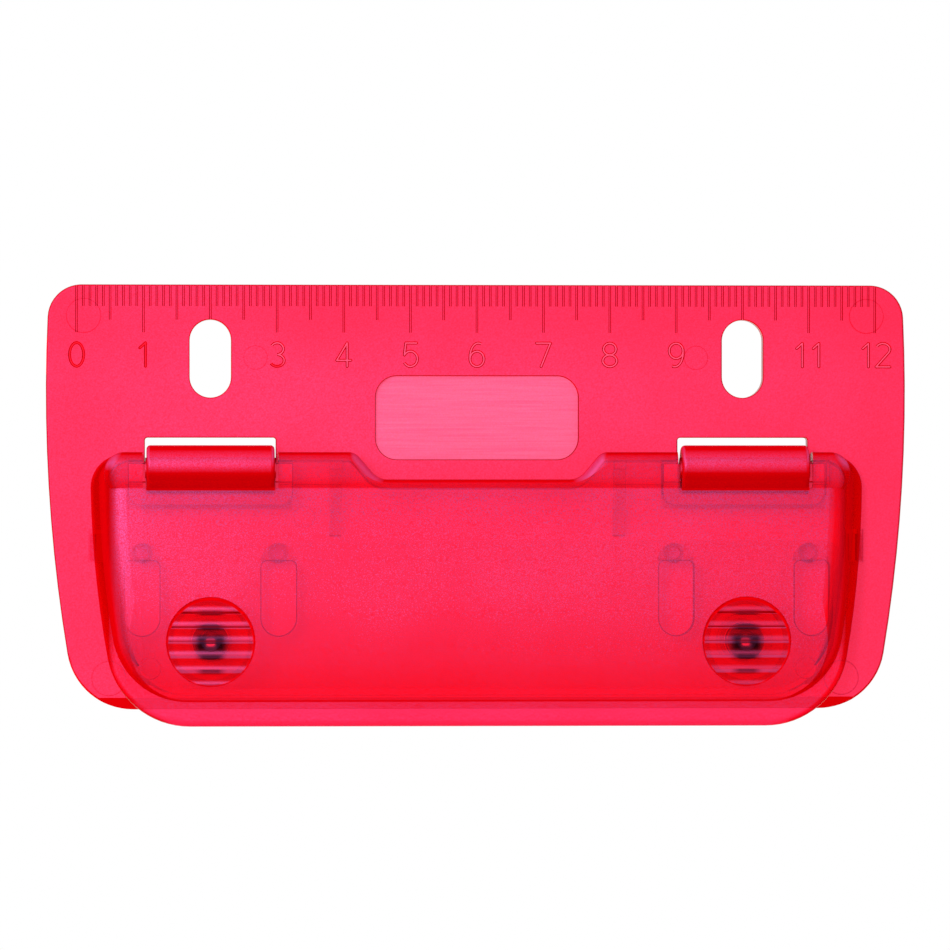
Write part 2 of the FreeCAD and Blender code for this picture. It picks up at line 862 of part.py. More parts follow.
def cap_body(inset, drop, z_low, rear_fillet):
    """The lever's cap as a solid block: big round shoulders at the sides and front, a small one at the
    rear. inset draws its walls in and drop lowers its top, which gives the hollow inside."""
    front = cap_front()
    half_width = lever_half_width - flange_width
    top = lever_top - drop
    rear = lever_rear - skin_step
    with_notch = panel(half_width + skin_step, lever_widest_y, lever_side_radius, rear, lever_rear_corner,
                       front - skin_step, cap_front_corner, inset, notch=True)
    open_rear = panel(half_width, lever_widest_y, lever_side_radius, lever_rear + barrel_length,
                      lever_rear_corner, front, cap_front_corner, inset)
    small_round = round_top(prism(with_notch, z_low, top + skin_step), rear_fillet, top + skin_step)
    big_round = round_top(prism(open_rear, z_low, top), shoulder_radius - inset, top)
    return small_round.common(big_round).cut(nose_cut(drop))


def flange():
    """The thin rim that stands out all round the cap and widens to the lip along the front."""
    front = cap_front() - lip_width
    outline = panel(lever_half_width, lever_widest_y, lever_side_radius, lever_rear - skin_step,
                    lever_rear_corner, front, lever_front_corner, notch=True)
    top = lever_rim + flange_thickness
    return round_top(prism(outline, lever_rim, top), flange_round, top)


def rear_bead():
    """The round bead along the lever's rear edge, from its steep rear face down to the crease."""
    crest_z = lever_top + bead_rise
    crest = lever_rear - bead_crest_from_rear_edge
    outline = panel(lever_half_width - bead_side_margin, lever_widest_y, lever_side_radius, lever_rear,
                    bead_end_corner, bead_crease - bead_foot, bead_end_corner, notch=True)
    block = round_top(prism(outline, lever_rim, crest_z), bead_round, crest_z)
    run = crest - bead_crease
    rise_radius = (run ** 2 + bead_rise ** 2) / (2 * bead_rise)
    half_angle = math.asin(run / rise_radius) / 2
    halfway = V(-far, crest - rise_radius * math.sin(half_angle),
                crest_z - rise_radius * (1 - math.cos(half_angle)))
    beyond = lever_rear + barrel_radius
    edges = [
        arc(V(-far, bead_crease, lever_top), halfway, V(-far, crest, crest_z)),
        line(V(-far, crest, crest_z), V(-far, beyond, crest_z)),
        line(V(-far, beyond, crest_z), V(-far, beyond, 0)),
        line(V(-far, beyond, 0), V(-far, bead_crease, 0)),
        line(V(-far, bead_crease, 0), V(-far, bead_crease, lever_top)),
    ]
    side_view = Part.Face(Part.Wire(edges)).extrude(V(2 * far, 0, 0))
    return block.common(side_view)


def bead_pocket(side):
    """The hollow under the bead, which leaves room for the hinge cheeks."""
    inner = finger_x - finger_width / 2 - finger_side_gap
    outer = half_spacing + cheek_outside + cheek_gap
    low, high = sorted((side * inner, side * outer))
    return box(low, high, bead_crease + bead_pocket_inset, cavity_rear, lever_rim - overrun,
               roof_bottom + bead_pocket_height)


def hinge_notch(x):
    """The gap cut in the lever's rear on both sides of one barrel."""
    half = barrel_length / 2 + hinge_notch_gap
    return box(x - half, x + half, bead_crease, lever_rear + barrel_radius, 0, far)


def barrel(x):
    """One hinge barrel, a clip that is open below, joined to the roof along its front."""
    half = barrel_length / 2
    shell = bar_along_x(barrel_radius, x - half, x + half, hinge_y, hinge_height)
    shell = shell.makeFillet(barrel_end_round, [e for e in shell.Edges if e.BoundBox.XLength < tolerance])
    joint = box(x - half, x + half, bead_crease - skin_step, hinge_y, roof_bottom, lever_top)
    low = x - half - overrun
    high = x + half + overrun
    bore = bar_along_x(bar_radius + running_clearance, low, high, hinge_y, hinge_height)
    mouth = box(low, high, hinge_y - barrel_mouth / 2, hinge_y + barrel_mouth / 2, 0, hinge_height)
    return shell.fuse(joint).cut([bore, mouth])


def pad_places():
    return [(side * half_spacing, punch_y - pad_lead) for side in (-1, 1)]


def above_skin(radius, x, y, depth):
    """The upper part of an upright cylinder, from the roof's outer surface lowered by depth."""
    column = upright(radius, x, y, 0, far)
    below = box(x - radius - overrun, x + radius + overrun, y - radius - overrun, y + radius + overrun,
                -overrun, lever_top - depth)
    return column.cut(below.cut(nose_cut(depth)))


def side_catch(side):
    """A hook under one side of the resting lever, whose barb stops under the plate's ledge."""
    outer = catch_place()
    inner = outer - catch_thickness
    middle = hinge_y - catch_from_axis
    barb_top = plate_thickness - catch_ledge - catch_play
    barb_low = barb_top - catch_barb_height
    rest_rim = hinge_height + catch_from_axis * math.sin(press_angle) - (hinge_height - lever_rim)
    outline = [
        (inner, barb_low),
        (outer, barb_low),
        (outer + catch_barb, barb_top - catch_barb_tip),
        (outer + catch_barb, barb_top),
        (outer, barb_top),
        (outer, rest_rim + flange_thickness / 2),
        (inner, rest_rim + flange_thickness / 2),
    ]
    corners = [V(side * x, middle - catch_length / 2, z) for x, z in outline]
    corners.append(corners[0])
    return Part.Face(Part.makePolygon(corners)).extrude(V(0, catch_length, 0))


def lever_marks():
    """The round ejector marks in the underside of the roof."""
    places = [(side * lever_mark_x, rear_y - lever_mark_from_rear) for side in (-1, 1)]
    places.append((single_mark_x, rear_y - single_mark_from_rear))
    inner_radius = nose_radius() - lever_roof
    marks = []
    for x, y in places:
        slope = math.asin(max(0, nose_start() - y) / inner_radius)
        drop = inner_radius * (1 - math.cos(slope))
        marks.append(ejector_mark(lever_mark_radius, x, y, roof_bottom - drop, slope))
    return marks


def press_lever():
    outer = cap_body(0, 0, lever_rim, rear_round)
    outer = outer.fuse([flange(), rear_bead()])
    hollow = cap_body(lever_wall, lever_roof, lever_rim - overrun, hollow_rear_round)
    shell = outer.cut([hollow, bead_pocket(-1), bead_pocket(1)])
    shell = shell.cut([hinge_notch(side * half_spacing) for side in (-1, 1)])
    shell = shell.fuse([barrel(side * half_spacing) for side in (-1, 1)])
    holes = lever_marks()
    for x, y in pad_places():
        holes.append(above_skin(pad_radius, x, y, lever_roof - pad_ledge_thickness))
        holes.append(upright(pad_radius - pad_ledge, x, y, 0, far))
    shell = to_rest(shell.cut(holes))
    return as_one_solid(shell.fuse([side_catch(side) for side in (-1, 1)]))


# Press pads, punches and return fingers

def fluted_top(x, y):
    """What lies under the pad's top: hollow flutes between sharp ridges, which follow the curved roof."""
    half = flute_count / 2 * flute_pitch

    def ridge(offset):
        place = y + offset
        return V(x - far, place, lever_top - pad_sink - nose_drop(place))

    edges = []
    for flute in range(flute_count):
        rear = ridge(half - flute * flute_pitch)
        front = ridge(half - (flute + 1) * flute_pitch)
        edges.append(arc(rear, (rear + front) * 0.5 - V(0, 0, flute_depth), front))
    first = ridge(half)
    last = ridge(-half)
    edges += [
        line(last, V(last.x, last.y, 0)),
        line(V(last.x, last.y, 0), V(first.x, first.y, 0)),
        line(V(first.x, first.y, 0), first),
    ]
    return Part.Face(Part.Wire(edges)).extrude(V(2 * far, 0, 0))


def press_pad(x, y):
    """A clear fluted disc with a pusher, and a riveted pin that holds the punch."""
    crown = pressed_crown()
    pin_top = crown - punch_crown_recess + pusher_gap
    web_bottom = crown - punch_crown_recess - punch_web
    rivet_top = web_bottom - rivet_gap
    disc = above_skin(pad_radius - pad_seam, x, y, lever_roof - pad_ledge_thickness - pad_seam)
    plug = above_skin(pad_radius - pad_ledge - pad_seam, x, y, lever_roof)
    cap = disc.fuse(plug).common(fluted_top(x, y))
    pin_y = punch_y - pin_lead
    pusher = upright(pusher_radius, x, pin_y, pin_top, roof_bottom + pad_ledge_thickness)
    pin = upright(peg_pin_radius, x, pin_y, rivet_top, pin_top)
    rivet = upright(rivet_radius, x, pin_y, rivet_top - rivet_height, rivet_top)
    return as_one_solid(to_rest(cap.fuse([pusher, pin, rivet])))


def pressed_crown():
    """The height of the punch's crown when it is pressed."""
    return punch_tip - punch_stroke + punch_height


def punch(x):
    """A cup punch: hollow below with a hollowed cutting edge, and a web with a hole near its crown."""
    top = punch_tip + punch_height
    web_top = top - punch_crown_recess
    web_bottom = web_top - punch_web
    body = upright(punch_radius, x, punch_y, punch_tip, top)
    hollow_radius = (punch_radius ** 2 + punch_edge_hollow ** 2) / (2 * punch_edge_hollow)
    hollow_z = punch_tip + punch_edge_hollow - hollow_radius
    edge = bar_along_x(hollow_radius, x - punch_diameter, x + punch_diameter, punch_y, hollow_z)
    cuts = [
        upright(punch_bore_radius, x, punch_y, 0, web_bottom),
        upright(punch_bore_radius, x, punch_y, web_top, far),
        upright(punch_hole_radius, x, punch_y, 0, far),
        edge,
    ]
    return as_one_solid(body.cut(cuts))


def return_finger(x):
    """A leaf from under the bead down to the plate. Its side view is drawn on the pressed lever."""
    rear = cavity_rear - finger_seat_gap
    top = roof_bottom + bead_pocket_height - finger_seat_gap
    tip_y, tip_z = to_pressed(hinge_y - finger_tip_from_axis,
                              plate_thickness + finger_clear + finger_tip_radius)
    root_z = hinge_height - finger_root_thickness
    slope = math.atan2(root_z - tip_z, rear - finger_root - tip_y)
    normal_y = -math.sin(slope) * finger_tip_radius
    normal_z = math.cos(slope) * finger_tip_radius
    half = finger_width / 2
    leaf = side_profile([
        (rear, top),
        (rear, root_z),
        (tip_y - normal_y, tip_z - normal_z),
        (tip_y + normal_y, tip_z + normal_z),
        (rear - finger_root, root_z + finger_root_thickness),
        (rear - finger_root, top),
    ], x - half, x + half)
    tip = bar_along_x(finger_tip_radius, x - half, x + half, tip_y, tip_z)
    return as_one_solid(to_rest(leaf.fuse(tip)))


def write(name, shape):
    if not shape.isValid():
        raise ValueError(name + " is not a valid solid")
    shape.exportStep(os.path.join("parts", name + ".step"))
    bounds = shape.BoundBox
    print("%-20s %9.2f mm3  x %.2f..%.2f  y %.2f..%.2f  z %.2f..%.2f" % (
        name, shape.Volume, bounds.XMin, bounds.XMax, bounds.YMin, bounds.YMax, bounds.ZMin, bounds.ZMax))


def main():
    os.makedirs("parts", exist_ok=True)
    print("lever travel: %.4f degrees, punches %.2f mm" % (math.degrees(press_angle), punch_stroke))
    write("base_plate", base_plate())
    write("guide_bridge", guide_bridge())
    write("press_lever", press_lever())
    for name, (x, y) in zip(("left", "right"), pad_places()):
        write("press_pad_" + name, press_pad(x, y))
        write("punch_" + name, punch(x))
    for name, side in (("left", -1), ("right", 1)):
        write("return_finger_" + name, return_finger(side * finger_x))


main()
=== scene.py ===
import bpy
from mathutils import Matrix, Vector


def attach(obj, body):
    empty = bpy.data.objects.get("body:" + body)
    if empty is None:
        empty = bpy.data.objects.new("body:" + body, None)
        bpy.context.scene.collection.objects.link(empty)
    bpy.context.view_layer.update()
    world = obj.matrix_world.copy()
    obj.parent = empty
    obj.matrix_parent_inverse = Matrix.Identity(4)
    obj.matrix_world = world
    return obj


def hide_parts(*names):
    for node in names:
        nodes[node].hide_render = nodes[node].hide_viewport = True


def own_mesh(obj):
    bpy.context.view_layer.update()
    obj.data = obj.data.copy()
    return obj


# A translucent red two-hole pocket punch on a plain white floor, seen from straight above.
# Metres, in the frame of the CAD model: X along the ruler, +Y towards the ruler edge, +Z up.

# Camera
CAMERA_PLACE = (-0.0467, 0.0045, 0.919)
CAMERA_AIM = (-0.0003, 0.0045, 0.0025)
CAMERA_LENS = 231.6
SENSOR = 36.0

# Floor and light
FLOOR_SIZE = 12.0
FLOOR_DROP = 0.0001
FLOOR_TINT = (0.9, 0.9, 0.9, 1)
FLOOR_GLOW = 1.0
WORLD_TINT = (1, 1, 1, 1)
WORLD_SEEN = 1.0
WORLD_LEVEL = 0.8
WORLD_MIRRORED = 0.4
SOFTBOX_PLACE = (-0.43, 0.3, 0.87)
SOFTBOX_SIZE = 0.5
SOFTBOX_POWER = 8.0

# Tints of the red body, and of the light that comes through it
BODY_TINT = (1.0, 0.006, 0.03, 1)
CLEAR_TINT = (1.0, 0.19, 0.31, 1)
LEVER_TINT = (1.0, 0.12, 0.25, 1)
# Painted shade: a saturated red on the lever's slopes that face the front or the right, turned away from the
# light
TURNED_AWAY_SHADE_TINT = (1.0, 0.01, 0.08, 1)
BRIDGE_TINT = (1.0, 0.7, 0.8, 1)
# Painted shade: darker tints on steep walls of the lever and the plate, and darkest on walls seen through the
# lever, for the dark that refraction gives there
WALL_SHADE_TINT = (0.7, 0.0, 0.003, 1)
PLATE_WALL_SHADE_TINT = (0.4, 0.0, 0.003, 1)
INNER_WALL_SHADE_TINT = (0.05, 0.0, 0.02, 1)
# Painted shade: a deep red on the lever's side flanges, under its barrels, on the plate's front-facing slopes
# and on the pads' rims
DEEP_SHADE_TINT = (0.8, 0.0, 0.003, 1)
SHADE_TINT = (0.72, 0.0, 0.1, 1)
INK_TINT = (0.86, 0.0, 0.002, 1)
SPECK_TINT = (0.6, 0.02, 0.14, 1)
LABEL_TINTS = ((1.0, 0.15, 0.28, 1), (1.0, 0.22, 0.38, 1))
PAD_TINT = (1.0, 0.03, 0.06, 1)
# Painted shade: the dark red line on each flute of a pad
PAD_SHADE_TINT = (0.35, 0.0, 0.003, 1)
# Painted refraction: the punch's dark steel as seen through a pad
PUNCH_SEEN_TINT = (0.26, 0.005, 0.02, 1)

# Surface of all the plastic
PLASTIC_IOR = 1.49
HAZE_TINT = (1.0, 0.28, 0.9, 1)
HAZE_ROUGHNESS = 0.5
PAD_ROUGHNESS = 0.3
GLOSS_ROUGHNESS = 0.15
GLOSS_FROM = 0.62
GLOSS_MOST = 0.5

# Steel
STEEL_TINT = (0.56, 0.56, 0.58, 1)
STEEL_ROUGHNESS = 0.25

# Noise: the sizes of its spots, the span of it that is used, and the levels that this span gives
NOISE_DETAIL = 2.0
GRAIN_SPAN = (0.25, 0.75)
CLOUD_SIZE = 0.02
CLOUD_SPAN = (0.3, 0.7)
CLOUD_LEVELS = (0.8, 1.2)
STREAK_SIZE = 0.0003
STREAK_STRETCH = 0.03
STREAK_DETAIL = 3
STREAK_SPAN = (0.3, 0.7)
SPECK_SIZE = 0.00018
SPECK_DETAIL = 1
SPECK_SPAN = (0.56, 0.66)
SPECK_STRENGTHS = (0.1, 0.8)

# The grain of each haze: the size of its spots, its level, and how far that varies
PLATE_GRAIN = (0.0002, 0.055, 0.7)
BRIDGE_GRAIN = (0.0006, 0.02, 0.3)
LEVER_GRAIN = (0.00018, 0.08, 0.9)

# Slopes where a look starts and where it is full, as how far the surface faces along an axis of the object;
# all these looks are painted: shade, highlights, glints and the punch's refraction
WALL_SLOPES = (0.93, 0.6)
FRONT_SLOPES = (-0.1, -0.32)
SHADED_SLOPES = (0.05, 0.22)
CORNER_SLOPES = (0.12, 0.4)
# The pads' painted highlight bands, painted shade lines, painted glints and painted smears of the punch
PAD_HIGHLIGHT_BANDS = (0.04, 0.2)
PAD_SHADE_LINES = (0.33, 0.42)
PAD_GLINTS = (-0.35, -0.42)
PAD_SMEARS = (0.24, 0.36)

# Share of what lies below that is seen. Pairs are for the top, and for the inside or the underside.
# The bridge's walls and the pads' lines have levels of their own, and the other places have factors.
PLATE_CLEAR = (0.6, 0.9)
PLATE_WALL_CLEAR = 0.3
BRIDGE_CLEAR = 0.88
BRIDGE_WALL_CLEAR = 0.25
PILLAR_CLEAR = 0.6
LEVER_CLEAR = (0.86, 0.97)
LEVER_WALL_CLEAR = 0.5
FRONT_CLEAR = 1.08
BARREL_CLEAR = 0.6
PAD_CLEAR = 0.94
PAD_LINE_CLEAR = 0.6
PAD_RIM_CLEAR = 0.4

# Factors for the haze at places that differ, with painted shade as less haze on front-facing and shaded
# slopes and a painted highlight as more haze on the barrels, and then the levels of painted highlight haze at
# the corners and on the pads
RULER_HAZE = 0.6
MARGIN_HAZE = 0.72
FADED_HAZE = 0.6
FRONT_SHADE_HAZE = 0.12
SHADED_HAZE = 0.1
BEAD_HAZE = 0.6
BARREL_HIGHLIGHT_HAZE = 2.2
PUNCH_HAZE = 0.3
CORNER_HIGHLIGHT_HAZE = 0.25
PAD_HIGHLIGHT_HAZES = (0.01, 0.13)
GLINT_HAZE = 0.3

# Strengths of the painted shade at the hinge housings, of the pale number grooves, and of the painted wall
# shade on the lever's walls at the lip
HOUSING_SHADE = 0.6
NUMBER_PALENESS = 0.7
LIP_STEEPNESS = 0.2

# Regions of the surfaces, the same on both sides of the middle: (x, y) from and to, and the width of the blur
SEEN_THROUGH_LEVER = ((0.0, -0.026), (0.054, 0.0063), 0.0002)
SIGHT_WINDOWS = ((0.0, -0.024), (0.0534, -0.0079), 0.0001)
LABEL = ((0.0, 0.00685), (0.0152, 0.01935), 0.0001)
RULER = ((0.0, 0.0275), (0.07, 0.04), 0.008)
HOUSINGS = ((0.0279, -0.0005), (0.0524, 0.0024), 0.0002)
# Painted deep shade on the lever's side flanges
LEVER_FLANGE = ((0.0552, -0.024), (0.07, 0.0062), 0.0012)
BARREL = ((0.0304, 0.0022), (0.0496, 0.01), 0.0001)
BEAD = ((0.0, 0.0026), (0.056, 0.012), 0.0004)
LIP = ((0.0, -0.04), (0.046, -0.0245), 0.001)
SPECKLED = ((0.0, -0.001), (0.054, 0.0023), 0.006)
ROOF = ((0.0, -0.027), (0.05, 0.0018), 0.0005)
PIN = ((0.0395, -0.0209), (0.0405, -0.0202), 0.0005)
# Painted view of the punch through its pad: a ring round the pin and smears on the flutes
PUNCH_SEEN = ((0.0384, -0.0212), (0.0416, -0.0199), 0.0008)
PUNCH_SMEARS = ((0.0389, -0.0247), (0.0411, -0.0163), 0.0014)

# Places along the ruler: the end of the filled numbers, the side of the third one's foot, the plate's margin
FILLED_TO = -0.0475
FOOT_SIDE = (-0.0296, -0.0288)
MARGIN = (0.053, 0.06)

# Places towards the ruler edge: numbers, top of the foot, shade under a barrel, lip, fading haze
NUMBERS_FROM = 0.0195
NUMBERS_TO = 0.025
FOOT_TOP = (0.0217, 0.0223)
BARREL_SHADE = (0.0048, 0.0066)
LIP_FROM = -0.0295
FADE = (-0.025, -0.01)

# Heights at rest: middle of the plate, floor of the label, pillars of the bridge, foot of the bead's corners
PLATE_MIDDLE = 0.0012
LABEL_FLOOR = 0.00245
PILLARS = 0.0028
CORNER_FLOOR = 0.0056

# Width over which one look turns into the next at a height or a line
EDGE_BLUR = 0.0002

# The lever's roof at rest: a sloping plane that curves down ahead of the nose's start
ROOF_HEIGHT = 0.0079265
ROOF_SLOPE = 0.09755
ROOF_SKIN = 0.0004
NOSE_START = -0.01435
NOSE_RADIUS = 0.0474

# Press pads: the middle of the right one, and the radii where its rim starts and is full
PAD_PLACE = (0.04, -0.02055)
PAD_RIM = (0.0062, 0.0064)

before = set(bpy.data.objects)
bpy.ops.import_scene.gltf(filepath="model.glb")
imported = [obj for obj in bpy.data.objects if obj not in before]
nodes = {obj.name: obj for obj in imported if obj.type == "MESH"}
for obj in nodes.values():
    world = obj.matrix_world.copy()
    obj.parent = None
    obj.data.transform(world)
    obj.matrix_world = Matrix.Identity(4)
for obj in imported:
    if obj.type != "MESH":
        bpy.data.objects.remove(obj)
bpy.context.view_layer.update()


def new_material(name):
    material = bpy.data.materials.new(name)
    material.use_nodes = True
    tree = material.node_tree
    tree.nodes.clear()
    return material, tree


def add(tree, kind, **settings):
    node = tree.nodes.new(kind)
    for key, value in settings.items():
        setattr(node, key, value)
    return node


def fill(tree, socket, value):
    """Put a number or a colour on a socket, or link another node's output to it."""
    if isinstance(value, (int, float, tuple)):
        socket.default_value = value
    else:
        tree.links.new(value, socket)


def between(tree, value, low, high, out_low=0.0, out_high=1.0):
    """Value, spread so that low gives out_low and high gives out_high, and clipped there."""
    spread = add(tree, "ShaderNodeMapRange")
    spread.inputs["From Min"].default_value = low
    spread.inputs["From Max"].default_value = high
    spread.inputs["To Min"].default_value = out_low
    spread.inputs["To Max"].default_value = out_high
    tree.links.new(value, spread.inputs["Value"])
    return spread.outputs["Result"]


def mixed(tree, share, first, second):
    """A colour between first and second. Each is a colour or another node's output."""
    mix = add(tree, "ShaderNodeMix", data_type="RGBA")
    tree.links.new(share, mix.inputs["Factor"])
    fill(tree, mix.inputs["A"], first)
    fill(tree, mix.inputs["B"], second)
    return mix.outputs["Result"]


def layered(tree, share, first, second):
    """A mix of two shaders that has this share of the second."""
    mix = add(tree, "ShaderNodeMixShader")
    tree.links.new(share, mix.inputs["Fac"])
    tree.links.new(first, mix.inputs[1])
    tree.links.new(second, mix.inputs[2])
    return mix.outputs["Shader"]


def calculated(tree, operation, *values):
    """The result of one sum. Each value is a number or another node's output."""
    node = add(tree, "ShaderNodeMath", operation=operation)
    for socket, value in zip(node.inputs, values):
        fill(tree, socket, value)
    return node.outputs["Value"]


def product(tree, first, *others):
    for other in others:
        first = calculated(tree, "MULTIPLY", first, other)
    return first


def where(tree, mask, inside, outside=1):
    """One level inside a mask, and another outside it."""
    return between(tree, mask, 0, 1, outside, inside)


def opposite(tree, mask):
    return where(tree, mask, 0)


def opposites(tree, *masks):
    return [opposite(tree, mask) for mask in masks]


def object_place(tree):
    return add(tree, "ShaderNodeTexCoord").outputs["Object"]


def place_on_object(tree):
    place = add(tree, "ShaderNodeSeparateXYZ")
    tree.links.new(object_place(tree), place.inputs["Vector"])
    return place.outputs["X"], place.outputs["Y"], place.outputs["Z"]


def noise(tree, size, detail=NOISE_DETAIL, stretch=(1, 1, 1)):
    """Noise from 0 to 1 with spots of this size, in metres, on the object itself."""
    place = add(tree, "ShaderNodeMapping")
    place.inputs["Scale"].default_value = stretch
    tree.links.new(object_place(tree), place.inputs["Vector"])
    spots = add(tree, "ShaderNodeTexNoise")
    spots.inputs["Scale"].default_value = 1.0 / size
    spots.inputs["Detail"].default_value = detail
    tree.links.new(place.outputs["Vector"], spots.inputs["Vector"])
    return spots.outputs["Fac"]


def grain(tree, size, level, share):
    """A level that varies by this share from spot to spot."""
    return between(tree, noise(tree, size), *GRAIN_SPAN, level * (1 - share), level * (1 + share))


def clouds(tree):
    return between(tree, noise(tree, CLOUD_SIZE), *CLOUD_SPAN, *CLOUD_LEVELS)


def region(tree, low, high, blur):
    """1 inside a box from low to high, as (x, y), the same on both sides of the middle, 0 outside."""
    x, y, z = place_on_object(tree)
    across = calculated(tree, "ABSOLUTE", x)
    return product(tree, between(tree, across, low[0] - blur, low[0]),
                   between(tree, across, high[0], high[0] + blur, 1, 0),
                   between(tree, y, low[1] - blur, low[1]),
                   between(tree, y, high[1], high[1] + blur, 1, 0))


def below(tree, height):
    """1 under this height of the object, 0 above it."""
    x, y, z = place_on_object(tree)
    return between(tree, z, height - EDGE_BLUR, height, 1, 0)


def facing(tree, axis):
    """How far the surface faces along an axis of the object, from -1 to 1."""
    normal = add(tree, "ShaderNodeSeparateXYZ")
    tree.links.new(add(tree, "ShaderNodeTexCoord").outputs["Normal"], normal.inputs["Vector"])
    return normal.outputs[axis]


def walls(tree):
    """0 where the surface lies flat in the object, 1 where it is steep."""
    return between(tree, calculated(tree, "ABSOLUTE", facing(tree, "Z")), *WALL_SLOPES)


def front_facing(tree):
    """0 where the surface faces up or to the rear, 1 where it clearly faces the front."""
    return between(tree, facing(tree, "Y"), *FRONT_SLOPES)


def haze_over(tree, under, share, roughness):
    """A pale violet haze over a shader, from a finely frosted surface."""
    veil = add(tree, "ShaderNodeBsdfGlossy")
    veil.inputs["Color"].default_value = HAZE_TINT
    veil.inputs["Roughness"].default_value = roughness
    return layered(tree, share, under, veil.outputs["BSDF"])


def gloss_over(tree, under):
    """The shine of smooth plastic that is seen at a low angle."""
    angle = add(tree, "ShaderNodeLayerWeight").outputs["Facing"]
    shine = add(tree, "ShaderNodeBsdfGlossy")
    shine.inputs["Roughness"].default_value = GLOSS_ROUGHNESS
    return layered(tree, between(tree, angle, GLOSS_FROM, 1, 0, GLOSS_MOST), under, shine.outputs["BSDF"])


def dyed(tree, body_tint, clear_tint, clear):
    """A red body that lets this share of what lies below be seen."""
    through = add(tree, "ShaderNodeBsdfTransparent")
    tree.links.new(clear_tint, through.inputs["Color"])
    body = add(tree, "ShaderNodeBsdfPrincipled")
    tree.links.new(body_tint, body.inputs["Base Color"])
    body.inputs["Roughness"].default_value = HAZE_ROUGHNESS
    body.inputs["IOR"].default_value = PLASTIC_IOR
    body.inputs["Specular IOR Level"].default_value = 0.0
    return layered(tree, clear, body.outputs["BSDF"], through.outputs["BSDF"])


def finish_plastic(tree, tints, clear, haze, roughness=HAZE_ROUGHNESS):
    """Dyed plastic with its haze and its gloss, as the whole material."""
    hazy = haze_over(tree, dyed(tree, *tints, clear), haze, roughness)
    output = add(tree, "ShaderNodeOutputMaterial")
    tree.links.new(gloss_over(tree, hazy), output.inputs["Surface"])


def label_tint(tree, tint):
    """The paler floor of the label recess, with brushed streaks along it."""
    lines = noise(tree, STREAK_SIZE, STREAK_DETAIL, (STREAK_STRETCH, 1, 1))
    streaks = between(tree, lines, *STREAK_SPAN)
    floor = product(tree, region(tree, *LABEL), below(tree, LABEL_FLOOR))
    return mixed(tree, floor, tint, mixed(tree, streaks, *LABEL_TINTS))


def number_grooves(tree):
    """1 in the grooves of the ruler's numbers, 0 elsewhere."""
    x, y, z = place_on_object(tree)
    return product(tree, between(tree, y, NUMBERS_FROM, NUMBERS_FROM + EDGE_BLUR),
                   between(tree, y, NUMBERS_TO, NUMBERS_TO + EDGE_BLUR, 1, 0),
                   below(tree, LABEL_FLOOR), opposite(tree, below(tree, PLATE_MIDDLE)))


def filled_numbers(tree):
    """1 in the grooves of the first two numbers and the foot of the third, which are filled with red."""
    x, y, z = place_on_object(tree)
    first = between(tree, x, FILLED_TO, FILLED_TO + EDGE_BLUR, 1, 0)
    foot = product(tree, between(tree, x, *FOOT_SIDE, 1, 0), between(tree, y, *FOOT_TOP, 1, 0))
    return product(tree, number_grooves(tree), calculated(tree, "MAXIMUM", first, foot))


def plate_tints(tree, steep, front, ink):
    """The tint of the plate's body, and of the light that comes through it, with painted shade on its steep
    walls and front-facing slopes and at the hinge housings.
    """
    # painted shade on the plate's steep walls, darkest where they are seen through the lever
    wall_shade = mixed(tree, region(tree, *SEEN_THROUGH_LEVER), PLATE_WALL_SHADE_TINT, INNER_WALL_SHADE_TINT)
    shade = product(tree, region(tree, *HOUSINGS), HOUSING_SHADE)
    pale = product(tree, number_grooves(tree), opposite(tree, ink), NUMBER_PALENESS)
    body = mixed(tree, pale, label_tint(tree, BODY_TINT), LABEL_TINTS[1])
    body = mixed(tree, steep, mixed(tree, shade, body, SHADE_TINT), wall_shade)
    # painted deep shade on the plate's front-facing slopes
    body = mixed(tree, front, mixed(tree, ink, body, INK_TINT), DEEP_SHADE_TINT)
    clear = mixed(tree, front, mixed(tree, shade, CLEAR_TINT, SHADE_TINT), DEEP_SHADE_TINT)
    clear = mixed(tree, ink, mixed(tree, steep, clear, wall_shade), INK_TINT)
    return body, clear


def plate_plastic():
    material, tree = new_material("plate_plastic")
    steep = walls(tree)
    # front-facing slopes of the plate, where deep shade is painted
    front = front_facing(tree)
    ink = filled_numbers(tree)
    underside = below(tree, PLATE_MIDDLE)
    clear = product(tree, between(tree, underside, 0, 1, *PLATE_CLEAR), where(tree, steep, PLATE_WALL_CLEAR))
    x, y, z = place_on_object(tree)
    margin = between(tree, calculated(tree, "ABSOLUTE", x), *MARGIN, 1, MARGIN_HAZE)
    haze = product(tree, grain(tree, *PLATE_GRAIN), clouds(tree), margin,
                   *opposites(tree, steep, underside, front, ink),
                   where(tree, region(tree, *RULER), RULER_HAZE))
    finish_plastic(tree, plate_tints(tree, steep, front, ink), clear, haze)
    return material


def bridge_plastic():
    """The bridge is only seen through the lever, and there only the edges of its windows show, as painted
    shade on their steep walls.
    """
    material, tree = new_material("bridge_plastic")
    steep = product(tree, walls(tree), region(tree, *SIGHT_WINDOWS))
    tints = [mixed(tree, steep, tint, INNER_WALL_SHADE_TINT) for tint in (BODY_TINT, BRIDGE_TINT)]
    clear = product(tree, where(tree, steep, BRIDGE_WALL_CLEAR, BRIDGE_CLEAR),
                    where(tree, below(tree, PILLARS), PILLAR_CLEAR))
    haze = product(tree, grain(tree, *BRIDGE_GRAIN), opposite(tree, steep))
    finish_plastic(tree, tints, clear, haze)
    return material


